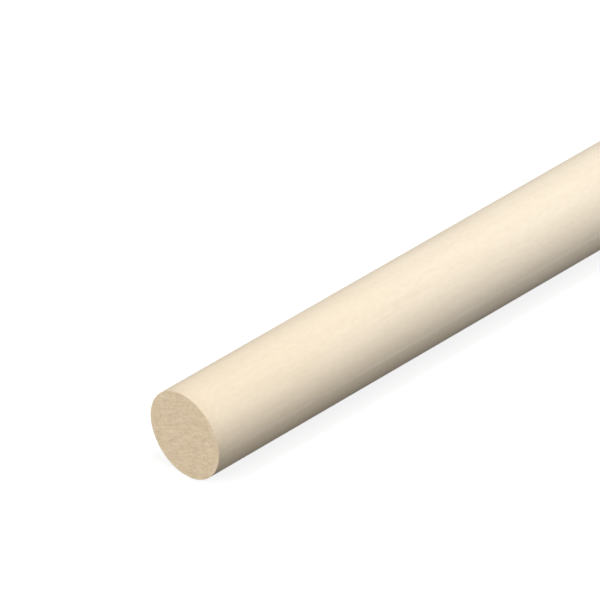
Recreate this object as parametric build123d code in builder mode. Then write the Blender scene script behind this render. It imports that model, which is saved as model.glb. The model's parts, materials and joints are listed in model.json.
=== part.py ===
from build123d import *
import os
from math import asin, degrees

# Round hardwood dowel rod, moulded from a planed square blank and sawn to a stock length.
# It lies along +X, with the centre of its near sawn end at the origin and the two
# witness strips facing +Y and -Y. Sizes are in millimetres.

rod_diameter = 25.0  # over the moulded round
rod_length = 900.0  # from sawn end to sawn end
witness_width = 1.1  # strip of the planed blank that neither moulding cutter reaches
arris_ease = 0.2  # rubbed off the sharp edge round each sawn end

# Each half-round cutter stops short of the blank's side by this angle.
rod_radius = rod_diameter / 2
cutter_stop = degrees(asin(witness_width / rod_diameter))
cutter_sweep = 180 - 2 * cutter_stop

# The rod. The upper and lower cutters each leave an arc a little under a half circle,
# and the planed side of the blank shows between them as a narrow flat strip.
with BuildPart() as dowel_rod:
    with BuildSketch(Plane.YZ):
        with BuildLine():
            upper_cut = CenterArc((0, 0), rod_radius, cutter_stop, cutter_sweep)
            lower_cut = CenterArc((0, 0), rod_radius, 180 + cutter_stop, cutter_sweep)
            Line(upper_cut @ 1, lower_cut @ 0)
            Line(lower_cut @ 1, upper_cut @ 0)
        make_face()
    extrude(amount=rod_length)

    # The saw leaves a sharp arris at both ends, rubbed down a little so that it doesn't splinter.
    sawn_ends = dowel_rod.faces().filter_by(Axis.X)
    chamfer(sawn_ends.edges(), length=arris_ease)

dowel_rod.part.label = "dowel_rod"

os.makedirs("parts", exist_ok=True)
export_step(dowel_rod.part, "parts/dowel_rod.step")
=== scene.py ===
import json
import math

import bpy
import numpy as np
from mathutils import Matrix, Vector, noise
from mathutils.geometry import delaunay_2d_cdt


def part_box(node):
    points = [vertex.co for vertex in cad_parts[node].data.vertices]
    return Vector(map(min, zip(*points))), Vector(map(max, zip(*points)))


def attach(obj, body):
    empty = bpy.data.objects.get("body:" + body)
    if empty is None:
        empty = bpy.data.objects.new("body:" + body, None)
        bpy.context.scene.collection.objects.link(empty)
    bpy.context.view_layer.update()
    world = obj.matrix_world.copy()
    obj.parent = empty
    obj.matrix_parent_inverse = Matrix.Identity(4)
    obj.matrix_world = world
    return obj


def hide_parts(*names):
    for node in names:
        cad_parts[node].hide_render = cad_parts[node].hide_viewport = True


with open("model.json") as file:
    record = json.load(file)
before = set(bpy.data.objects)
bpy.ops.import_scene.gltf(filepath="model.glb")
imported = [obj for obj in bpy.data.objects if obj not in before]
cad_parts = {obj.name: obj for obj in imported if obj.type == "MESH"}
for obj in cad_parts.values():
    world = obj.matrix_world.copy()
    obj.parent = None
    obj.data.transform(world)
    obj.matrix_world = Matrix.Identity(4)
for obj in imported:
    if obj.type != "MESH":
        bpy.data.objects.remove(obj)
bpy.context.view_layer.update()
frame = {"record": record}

# The rod's form
# One length of pale, fine-grained hardwood, run through a moulder from a planed square
# blank. Each of two cutters rounds a little under half of it, so a narrow strip of the
# blank's planed side is left along each side. The ends are sawn square and rubbed down.
near_corner, far_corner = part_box("dowel_rod")
barrel = next(mount for mount in frame["record"]["mounts"] if mount["name"] == "barrel")
rod_length = far_corner.x - near_corner.x
rod_radius = barrel["dims"]["r_mm"] / 1000  # in metres, as every size is unless a comment says otherwise
half_across_strips = far_corner.y
arris = barrel["pos_m"][0] / 2  # rubbed round, so it takes off less than the frame's flat bevel

arc_steps = 88  # facets round each cutter's arc
ring_spacing = 0.004  # between the rings of facets along the barrel
arris_steps = 3  # facets over the rubbed edge
sanding_hollow = 0.000012  # deepest waviness left by sanding along the grain
hollow_width, hollow_length = 0.006, 0.090  # of one such hollow


def section(inset):
    """The moulded outline drawn in by an inset, as y and z: the upper arc, then the lower one."""
    radius = rod_radius - inset
    cutter_stop = math.acos((half_across_strips - inset) / radius)
    upper_arc = np.linspace(cutter_stop, math.pi - cutter_stop, arc_steps + 1)
    angles = np.concatenate([upper_arc, upper_arc + math.pi])
    return radius * np.stack([np.cos(angles), np.sin(angles)], axis=1)


def sanded(x, y, z):
    """How far sanding has hollowed the surface here, as a fraction of the deepest hollow."""
    place = Vector((x / hollow_length, y / hollow_width, z / hollow_width))
    return 0.5 + 0.5 * noise.noise(place)


edge_turns = [math.pi / 2 * step / arris_steps for step in range(arris_steps + 1)]
near_edge = [(arris * (1 - math.cos(turn)), arris * (1 - math.sin(turn))) for turn in edge_turns]
barrel_rings = round((rod_length - 2 * arris) / ring_spacing)
barrel_x = np.linspace(arris, rod_length - arris, barrel_rings + 1)[1:-1]
far_edge = [(rod_length - x, inset) for x, inset in reversed(near_edge)]
rings = near_edge + [(x, 0.0) for x in barrel_x] + far_edge

places = []
for x, inset in rings:
    for y, z in section(inset):
        hollow = sanding_hollow * sanded(x, y, z) if inset == 0 else 0
        draw_in = 1 - hollow / rod_radius
        places.append((x, y * draw_in, z * draw_in))

around = 2 * (arc_steps + 1)  # corners in each ring
strip_columns = (arc_steps, around - 1)  # the facets between the arcs, which stay planed
faces, corner_map, sawn, planed = [], [], [], []

# The finish is baked through a map. It holds the barrel unrolled along the map's width,
# finer round the rod than along it as the grain is, with the two sawn ends above.
barrel_share = 0.78  # of the map's height
map_margin = 0.005  # kept free round the barrel
end_circle = 0.096  # radius of a sawn end on the map
end_centres = [(0.12, 0.89), (0.36, 0.89)]


def barrel_place(ring, column):
    """Where a corner of the barrel's facets falls on the map."""
    along = rings[ring][0] / rod_length
    return (
        map_margin + (1 - 2 * map_margin) * along,
        map_margin + (barrel_share - 2 * map_margin) * column / around,
    )


def end_place(end, y, z):
    """Where a place on a sawn end falls on the map."""
    centre = end_centres[end]
    return centre[0] + end_circle * y / rod_radius, centre[1] + end_circle * z / rod_radius


for ring in range(len(rings) - 1):
    on_edge = ring < arris_steps or ring >= len(rings) - 1 - arris_steps
    end = 0 if ring < arris_steps else 1
    for column in range(around):
        following = (column + 1) % around
        corners = [
            ring * around + column,
            ring * around + following,
            (ring + 1) * around + following,
            (ring + 1) * around + column,
        ]
        faces.append(corners)
        sawn.append(on_edge)
        planed.append(column in strip_columns)
        if on_edge:
            corner_map += [end_place(end, *places[corner][1:]) for corner in corners]
        else:
            corner_map += [
                barrel_place(ring, column),
                barrel_place(ring, column + 1),
                barrel_place(ring + 1, column + 1),
                barrel_place(ring + 1, column),
            ]

# The sawn ends
# The saw cuts straight across the fibres, so each end shows them end on, open pores and
# all. The teeth leave fine slanting scores, and the pores are small pits.
facet_spacing = 0.00018
facet_jitter = 0.25  # of the spacing, so that the facets stand in no rows
rim_clearance = 0.6  # of the spacing, kept free inside the rim
pore_share = 0.14  # of the facets' corners
pore_depth = 0.00006  # of the deepest
least_draw, draw_power = 0.2, 1.5  # a pore's share of that is a draw from this up to 1, to this power
score_pitch = 0.0011
score_depth = 0.000018
score_slant = math.radians(26)  # rising to the right, seen from in front of the near end
score_wander, wander_size = 0.35, 0.004  # how many pitches a score strays, and over what length
wander_slice = 3.0  # of the noise that bends the scores
random = np.random.default_rng(7)  # seeded, so that every run draws the same pores


def scored(y, z):
    """Depth of the saw's scores at a place on the end, along lines that slant across it."""
    across = z * math.cos(score_slant) + y * math.sin(score_slant)
    wander = score_wander * noise.noise(Vector((y / wander_size, z / wander_size, wander_slice)))
    return score_depth * (0.5 + 0.5 * math.sin(2 * math.pi * (across / score_pitch + wander)))


inside_rim = 1  # the kind of triangulation that keeps to the inside of the rim
same_place = 1e-9  # closer together than this, two corners are one
pore_marks = [0.0] * len(places)
rubbed_marks = [float(x <= arris or x >= rod_length - arris) for x, _, _ in places]
for end, first_ring in ((0, 0), (1, len(rings) - 1)):
    outward = -1 if end == 0 else 1
    rim = [first_ring * around + column for column in range(around)]
    rim_places = [Vector(places[corner][1:]) for corner in rim]
    rows = np.arange(-rod_radius, rod_radius, facet_spacing * math.sqrt(3) / 2)
    columns = np.arange(-rod_radius, rod_radius, facet_spacing)
    inner = []
    for row, z in enumerate(rows):
        shift = facet_spacing / 2 * (row % 2)
        for y in columns + shift:
            jitter = random.uniform(-facet_jitter, facet_jitter, 2) * facet_spacing
            place = Vector((y + jitter[0], z + jitter[1]))
            if place.length < half_across_strips - arris - rim_clearance * facet_spacing:
                inner.append(place)
    points, _, triangles, origins, _, _ = delaunay_2d_cdt(
        rim_places + inner, [], [list(range(around))], inside_rim, same_place
    )
    index_of = []
    for point, origin in zip(points, origins):
        if origin and origin[0] < around:
            index_of.append(rim[origin[0]])
            continue
        is_pore = random.random() < pore_share
        mark = random.uniform(least_draw, 1.0) ** draw_power if is_pore else 0.0
        depth = scored(*point) + pore_depth * mark
        index_of.append(len(places))
        places.append((places[rim[0]][0] - outward * depth, point.x, point.y))
        pore_marks.append(mark)
        rubbed_marks.append(0.0)
    for triangle in triangles:
        corners = [index_of[corner] for corner in triangle]
        a, b, c = (Vector(places[corner]) for corner in corners)
        if (b - a).cross(c - a).x * outward < 0:
            corners.reverse()
        faces.append(corners)
        sawn.append(True)
        planed.append(False)
        corner_map += [end_place(end, *places[corner][1:]) for corner in corners]

rod_mesh = bpy.data.meshes.new("dowel_rod_timber")
rod_mesh.from_pydata(places, [], faces)
rod_mesh.uv_layers.new(name="OFBake").uv.foreach_set("vector", np.ravel(corner_map))
rod_mesh.attributes.new("pore_mark", "FLOAT", "POINT").data.foreach_set("value", pore_marks)
rod_mesh.attributes.new("rubbed_mark", "FLOAT", "POINT").data.foreach_set("value", rubbed_marks)
rod_mesh.attributes.new("planed_mark", "FLOAT", "FACE").data.foreach_set("value", planed)
rod_mesh.polygons.foreach_set("use_smooth", [True] * len(faces))
rod_mesh.polygons.foreach_set("material_index", [int(end_grain) for end_grain in sawn])

# The planed strips meet the moulded arcs at a faint edge, which shading keeps crisp.
strip_edges = [0, arc_steps, arc_steps + 1, around - 1]
barrel_corners = len(rings) * around
ends_of = np.empty(2 * len(rod_mesh.edges), dtype=np.int32)
rod_mesh.edges.foreach_get("vertices", ends_of)
one, other = ends_of.reshape(-1, 2).T
lengthwise = (one < barrel_corners) & (other < barrel_corners) & (one % around == other % around)
crisp = lengthwise & np.isin(one % around, strip_edges)
rod_mesh.attributes.new("sharp_edge", "BOOLEAN", "EDGE").data.foreach_set("value", crisp)

rod = bpy.data.objects.new("dowel_rod_timber", rod_mesh)
bpy.context.collection.objects.link(rod)
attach(rod, "root")
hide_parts("dowel_rod")

# The barrel's finish
# Planed and lightly sanded, with no stain or varnish: an even straw colour that has
# yellowed a little towards the ends, with soft clouds in it, and faint long streaks and
# vessels that run a degree or so off the rod's line.
moulded_wood = (0.857, 0.753, 0.602)
yellowed_wood = (0.842, 0.722, 0.556)
yellowed_reach = 0.12  # in from each sawn end
handled_reach = 0.005  # in from each sawn end, where handling has darkened the barrel
worn_reach = 0.016  # in from each sawn end, where the planed strips are rubbed dull and their painted sheen fades
fibre_slope = (0.0, math.radians(0.4), math.radians(1.3))
raised_grain = 0.000006  # how far the fibres stand up after sanding
wood_roughness, wood_shine = 0.84, 0.15  # raw wood is rough and hardly shines
red_fall, blue_fall = 0.8, 1.4  # powers of a tone: in the dark, red falls less than green and blue more
vessel_open, vessel_shut = 0.5, 1.3  # widths from a vessel's line to its full hollow, and to its end


def new_material(name):
    """A material with an empty tree but for its Principled shader and output."""
    material = bpy.data.materials.new(name)
    material.use_nodes = True
    tree = material.node_tree
    return material, tree, tree.nodes["Principled BSDF"]


def add(tree, kind, settings=None, **inputs):
    """A node with its settings, and its inputs as values or as another node's output.

    An input goes by its name, or by its number, as in i0 for the first.
    """
    node = tree.nodes.new(kind)
    for name, value in (settings or {}).items():
        setattr(node, name, value)
    for name, value in inputs.items():
        numbered = name[0] == "i" and name[1:].isdigit()
        socket = node.inputs[int(name[1:]) if numbered else name]
        if isinstance(value, bpy.types.NodeSocket):
            tree.links.new(value, socket)
        else:
            socket.default_value = value
    return node


def calc(tree, operation, first, second=0.0, third=0.0):
    """One step of arithmetic on numbers or outputs."""
    return add(tree, "ShaderNodeMath", {"operation": operation}, i0=first, i1=second, i2=third).outputs[0]


def marked(tree, name):
    """A mark that the mesh carries."""
    return add(tree, "ShaderNodeAttribute", {"attribute_name": name}).outputs["Fac"]


def timber_place(tree, turn):
    """Places in the timber in millimetres, with X turned to follow the fibres."""
    place = add(tree, "ShaderNodeTexCoord").outputs["Object"]
    in_mm = add(tree, "ShaderNodeVectorMath", {"operation": "SCALE"}, i0=place, Scale=1000.0)
    return add(tree, "ShaderNodeMapping", Vector=in_mm.outputs[0], Rotation=turn).outputs[0]


def figure(tree, place, size_mm, detail=2.0, waviness=0.0):
    """Smooth random figure from -1 to 1, of a size given along X, Y and Z."""
    scale = [1 / size for size in size_mm]
    sized = add(tree, "ShaderNodeMapping", Vector=place, Scale=scale).outputs[0]
    texture = add(tree, "ShaderNodeTexNoise", Vector=sized, Scale=1.0, Detail=detail, Distortion=waviness)
    return calc(tree, "MULTIPLY_ADD", texture.outputs[0], 2.0, -1.0)


def vessels(tree, place, size_mm, width):
    """1 inside the wood's vessels and 0 between them: long thin tubes along the fibres."""
    scale = [1 / size for size in size_mm]
    sized = add(tree, "ShaderNodeMapping", Vector=place, Scale=scale).outputs[0]
    cells = add(tree, "ShaderNodeTexVoronoi", Vector=sized, Scale=1.0)
    smooth = {"interpolation_type": "SMOOTHSTEP"}
    near = {"i0": cells.outputs["Distance"], "i1": vessel_open * width, "i2": vessel_shut * width}
    return add(tree, "ShaderNodeMapRange", smooth, i3=1.0, i4=0.0, **near).outputs[0]


def near_an_end(tree, reach):
    """1 at the sawn ends, falling to 0 a reach in from them."""
    place = add(tree, "ShaderNodeTexCoord").outputs["Object"]
    along = add(tree, "ShaderNodeSeparateXYZ", i0=place).outputs[0]
    from_end = calc(tree, "MINIMUM", along, calc(tree, "SUBTRACT", rod_length, along))
    smooth = {"interpolation_type": "SMOOTHSTEP"}
    return add(tree, "ShaderNodeMapRange", smooth, i0=from_end, i2=reach, i3=1.0, i4=0.0).outputs[0]


def mixed(tree, share, first, second):
    """The first colour, going over to the second with the share."""
    first, second = [(*colour, 1) if isinstance(colour, tuple) else colour for colour in (first, second)]
    return add(tree, "ShaderNodeMix", {"data_type": "RGBA"}, i0=share, i6=first, i7=second).outputs[2]


def toned(tree, colour, tone):
    """The colour made lighter or darker by a tone round 1, and warmer where it is darker."""
    red = calc(tree, "POWER", tone, red_fall)
    blue = calc(tree, "POWER", tone, blue_fall)
    shade = add(tree, "ShaderNodeCombineXYZ", i0=red, i1=tone, i2=blue).outputs[0]
    return add(tree, "ShaderNodeVectorMath", {"operation": "MULTIPLY"}, i0=colour, i1=shade).outputs[0]


def summed(tree, base, *parts):
    """The base with each part added, times its own weight."""
    total = base
    for part, weight in parts:
        total = calc(tree, "MULTIPLY_ADD", part, weight, total)
    return total


# Each figure's size is in millimetres, along the fibres and then both ways across them.
barrel_finish, tree, shader = new_material("moulded_hardwood")
fibres = timber_place(tree, fibre_slope)
bands = figure(tree, fibres, (70, 8, 8))
clouds = figure(tree, fibres, (24, 3, 3))
streaks = figure(tree, fibres, (50, 1.1, 1.1), detail=3.0)
fine_lines = figure(tree, fibres, (14, 0.3, 0.3))
mottle = figure(tree, fibres, (2.2, 1.0, 1.0))
fuzz = figure(tree, fibres, (0.5, 0.25, 0.25), detail=1.0)
vessel_lines = vessels(tree, fibres, (7, 0.55, 0.55), width=0.12)
handled = near_an_end(tree, handled_reach)
worn = near_an_end(tree, worn_reach)
strip = calc(tree, "MULTIPLY", marked(tree, "planed_mark"), calc(tree, "SUBTRACT", 1.0, worn))
# The planed strips are painted lighter, with a painted sheen that comes and goes along them; only their
# lower roughness is real.
painted_strip_sheen = calc(tree, "MULTIPLY", strip, figure(tree, fibres, (45, 40, 40)))

# The strip and strip sheen terms in this tone are painted sheen on the planed strips, not a colour of the
# wood.
wood_tone = summed(
    tree, 1.0, (bands, 0.05), (clouds, 0.040), (streaks, 0.024), (fine_lines, 0.032), (mottle, 0.058),
    (fuzz, 0.042), (vessel_lines, -0.035), (strip, 0.060), (painted_strip_sheen, 0.065), (handled, -0.045),
)
wood = mixed(tree, near_an_end(tree, yellowed_reach), moulded_wood, yellowed_wood)
tree.links.new(toned(tree, wood, wood_tone), shader.inputs["Base Color"])
roughness = summed(tree, wood_roughness, (streaks, 0.06), (vessel_lines, 0.12), (strip, -0.06))
tree.links.new(roughness, shader.inputs["Roughness"])
shader.inputs["Specular IOR Level"].default_value = wood_shine
height = summed(tree, streaks, (fine_lines, 0.6), (vessel_lines, -0.8), (fuzz, 0.3))
relief = add(tree, "ShaderNodeBump", Strength=1.0, Distance=raised_grain, Height=height)
tree.links.new(relief.outputs[0], shader.inputs["Normal"])
rod_mesh.materials.append(barrel_finish)

# The sawn ends' finish
# The same fibres seen end on, where they drink up the light and look darker. They stand in
# short wavy strokes with finer rays across them and dark open pores, and a smooth line
# runs round the rim where the sharp edge was rubbed away.
sawn_wood, sawn_heart = (0.729, 0.596, 0.458), (0.699, 0.564, 0.356)  # mixed in soft patches
rubbed_wood = (0.745, 0.610, 0.435)
torn_fibres = 0.00003  # how far they stand up from the cut

# Each figure's size is in millimetres, into the end, along the strokes and across them.
end_finish, tree, shader = new_material("sawn_end_grain")
across_fibres = timber_place(tree, (score_slant, 0.0, 0.0))
patches = figure(tree, across_fibres, (300, 5, 4))
soft_lines = figure(tree, across_fibres, (60, 3.6, 1.2), detail=3.0, waviness=0.9)
fibre_ends = figure(tree, across_fibres, (12, 1.8, 0.68), waviness=1.1)
rays = figure(tree, across_fibres, (12, 0.09, 3.0), detail=1.0)
pore_mark = marked(tree, "pore_mark")
rubbed_mark = marked(tree, "rubbed_mark")

wood_tone = summed(
    tree, 1.0, (patches, 0.06), (soft_lines, 0.18), (fibre_ends, 0.19), (rays, 0.05), (pore_mark, -0.33)
)
heart_share = calc(tree, "MULTIPLY_ADD", patches, 0.5, 0.5)
sawn_look = toned(tree, mixed(tree, heart_share, sawn_wood, sawn_heart), wood_tone)
rubbed_look = toned(tree, rubbed_wood, summed(tree, 1.0, (fibre_ends, 0.06)))
tree.links.new(mixed(tree, rubbed_mark, sawn_look, rubbed_look), shader.inputs["Base Color"])
tree.links.new(summed(tree, wood_roughness, (fibre_ends, 0.05)), shader.inputs["Roughness"])
shader.inputs["Specular IOR Level"].default_value = wood_shine
relief = add(tree, "ShaderNodeBump", Strength=1.0, Distance=torn_fibres, Height=fibre_ends)
tree.links.new(relief.outputs[0], shader.inputs["Normal"])
rod_mesh.materials.append(end_finish)

# The floor
# A plain white sheet that the rod lies on. Its white is its own, so that the lamps can
# stay at a plain level, and it darkens only where the rod shades it.
floor_reach = 6.0  # from its middle to each side
bounce_colour = 0.08  # the share of the light that it throws back up at the rod
shade_share = 0.30  # the share of the light on it that shows, which the rod's shadow takes away
own_white = 0.79  # what is left of its white in the deepest shadow
studio_radius = 0.9  # beyond this the sheet runs out into plain white
run_out_from = 0.7  # of that radius, where it begins to
studio_centre = Vector((rod_length / 2, 0.0, -rod_radius))

floor_mesh = bpy.data.meshes.new("studio_floor")
floor_mesh.from_pydata(
    [
        studio_centre + Vector((x * floor_reach, y * floor_reach, 0))
        for x, y in ((-1, -1), (1, -1), (1, 1), (-1, 1))
    ],
    [],
    [(0, 1, 2, 3)],
)
floor = bpy.data.objects.new("studio_floor", floor_mesh)
bpy.context.collection.objects.link(floor)


def seen_directly(tree):
    """1 for rays from the camera, and for those that polish or glass sends on, and 0 for light."""
    rays = add(tree, "ShaderNodeLightPath")
    glossy = calc(tree, "MAXIMUM", rays.outputs["Is Camera Ray"], rays.outputs["Is Glossy Ray"])
    return calc(tree, "MAXIMUM", glossy, rays.outputs["Is Transmission Ray"])


floor_finish = bpy.data.materials.new("studio_white")
floor_finish.use_nodes = True
tree = floor_finish.node_tree
tree.nodes.clear()
grey = add(tree, "ShaderNodeBsdfDiffuse", Color=(bounce_colour, bounce_colour, bounce_colour, 1))
shaded = add(tree, "ShaderNodeBsdfDiffuse", Color=(shade_share, shade_share, shade_share, 1))
glow = add(tree, "ShaderNodeEmission", Strength=own_white)
plain = add(tree, "ShaderNodeEmission", Strength=1.0)
near_rod = add(tree, "ShaderNodeAddShader", i0=shaded.outputs[0], i1=glow.outputs[0])
floor_place = add(tree, "ShaderNodeNewGeometry").outputs["Position"]
from_centre = add(
    tree, "ShaderNodeVectorMath", {"operation": "DISTANCE"}, i0=floor_place, i1=studio_centre
).outputs["Value"]
run_out = add(
    tree,
    "ShaderNodeMapRange",
    {"interpolation_type": "SMOOTHSTEP"},
    i0=from_centre,
    i1=run_out_from * studio_radius,
    i2=studio_radius,
).outputs[0]
sheet = add(tree, "ShaderNodeMixShader", i0=run_out, i1=near_rod.outputs[0], i2=plain.outputs[0])
floor_look = add(
    tree, "ShaderNodeMixShader", i0=seen_directly(tree), i1=grey.outputs[0], i2=sheet.outputs[0]
)
tree.links.new(floor_look.outputs[0], add(tree, "ShaderNodeOutputMaterial").inputs["Surface"])
floor_mesh.materials.append(floor_finish)

# The room
# A plain studio, white all round to the eye and to anything polished. The light that it
# gives the rod is low and even.
room_light = 0.04
room = bpy.data.worlds.new("studio_room")
bpy.context.scene.world = room
room.use_nodes = True
tree = room.node_tree
room_strength = add(
    tree, "ShaderNodeMapRange", i0=seen_directly(tree), i3=room_light, i4=1.0
).outputs[0]
tree.links.new(room_strength, tree.nodes["Background"].inputs["Strength"])
tree.nodes["Background"].inputs["Color"].default_value = (1, 1, 1, 1)

# The lamps
# Soft boxes. Two run beside the rod, one on the camera's side of it and one nearly
# overhead. A large one beyond each end lights its sawn face, and a low strip behind fills
# the far side: these three aren't mirrored in the wood.
long_box_distance = 1.6  # from the rod
end_box_back, end_box_height = 2.0, 1.0  # beyond the sawn end, and above the rod


def soft_box(name, place, width, height, power, mirrored):
    """A soft box aimed at the middle of the rod, with its width level."""
    lamp = bpy.data.lights.new(name, "AREA")
    lamp.shape = "RECTANGLE"
    lamp.size, lamp.size_y = width, height
    lamp.energy = power
    stand = bpy.data.objects.new(name, lamp)
    stand.location = place
    aim = Vector((rod_length / 2, 0, 0)) - Vector(place)
    stand.rotation_mode = "QUATERNION"
    stand.rotation_quaternion = aim.to_track_quat("-Z", "Y")
    stand.visible_camera = False
    stand.visible_glossy = mirrored
    bpy.context.collection.objects.link(stand)


def long_box(name, turn, width, height, power, mirrored=True):
    """A soft box that runs beside the rod, turned up round it from level on the far side."""
    turn = math.radians(turn)
    place = (rod_length / 2, long_box_distance * math.cos(turn), long_box_distance * math.sin(turn))
    soft_box(name, place, width, height, power, mirrored)


long_box("front_box", turn=142, width=1.2, height=0.35, power=11.3)
long_box("high_box", turn=91, width=1.2, height=0.35, power=8.05)
long_box("back_strip", turn=5, width=1.6, height=0.20, power=3.0, mirrored=False)
for name, middle in (("near_end_box", -end_box_back), ("far_end_box", rod_length + end_box_back)):
    soft_box(name, (middle, 0, end_box_height), width=1.7, height=1.4, power=53.8, mirrored=False)

# The camera
# A long lens from far back, held level from side to side and looking down. The near end
# shows at lower left, and the rod runs out of the picture at right.
photo_width = 600
photo_middle = photo_width / 2
near_end_pixel = (184.483, 435.384)  # where the middle of the near end shows
focal_pixels = 9083.2  # the lens's focal length, in the photo's pixels
look_down = math.radians(35.305)
rod_turn = math.radians(44.678)  # of the rod's line from the picture's level, going away
near_end_distance = 2.3139  # along the lens's axis
film_width = 36  # in millimetres

right = Vector((math.cos(rod_turn), -math.sin(rod_turn), 0))
level_ahead = Vector((math.sin(rod_turn), math.cos(rod_turn), 0))
ahead = level_ahead * math.cos(look_down) - Vector((0, 0, math.sin(look_down)))
up = right.cross(ahead)
sideways = (near_end_pixel[0] - photo_middle) / focal_pixels * near_end_distance
upward = -(near_end_pixel[1] - photo_middle) / focal_pixels * near_end_distance

lens = bpy.data.cameras.new("camera")
lens.sensor_width = film_width
lens.lens = focal_pixels / photo_width * film_width
lens.clip_start, lens.clip_end = 0.1, 100
camera = bpy.data.objects.new("camera", lens)
camera.rotation_mode = "QUATERNION"
camera.rotation_quaternion = Matrix((right, up, -ahead)).transposed().to_quaternion()
camera.location = -(sideways * right + upward * up + near_end_distance * ahead)
bpy.context.collection.objects.link(camera)
bpy.context.scene.camera = camera

bpy.context.scene.view_settings.view_transform = "Standard"
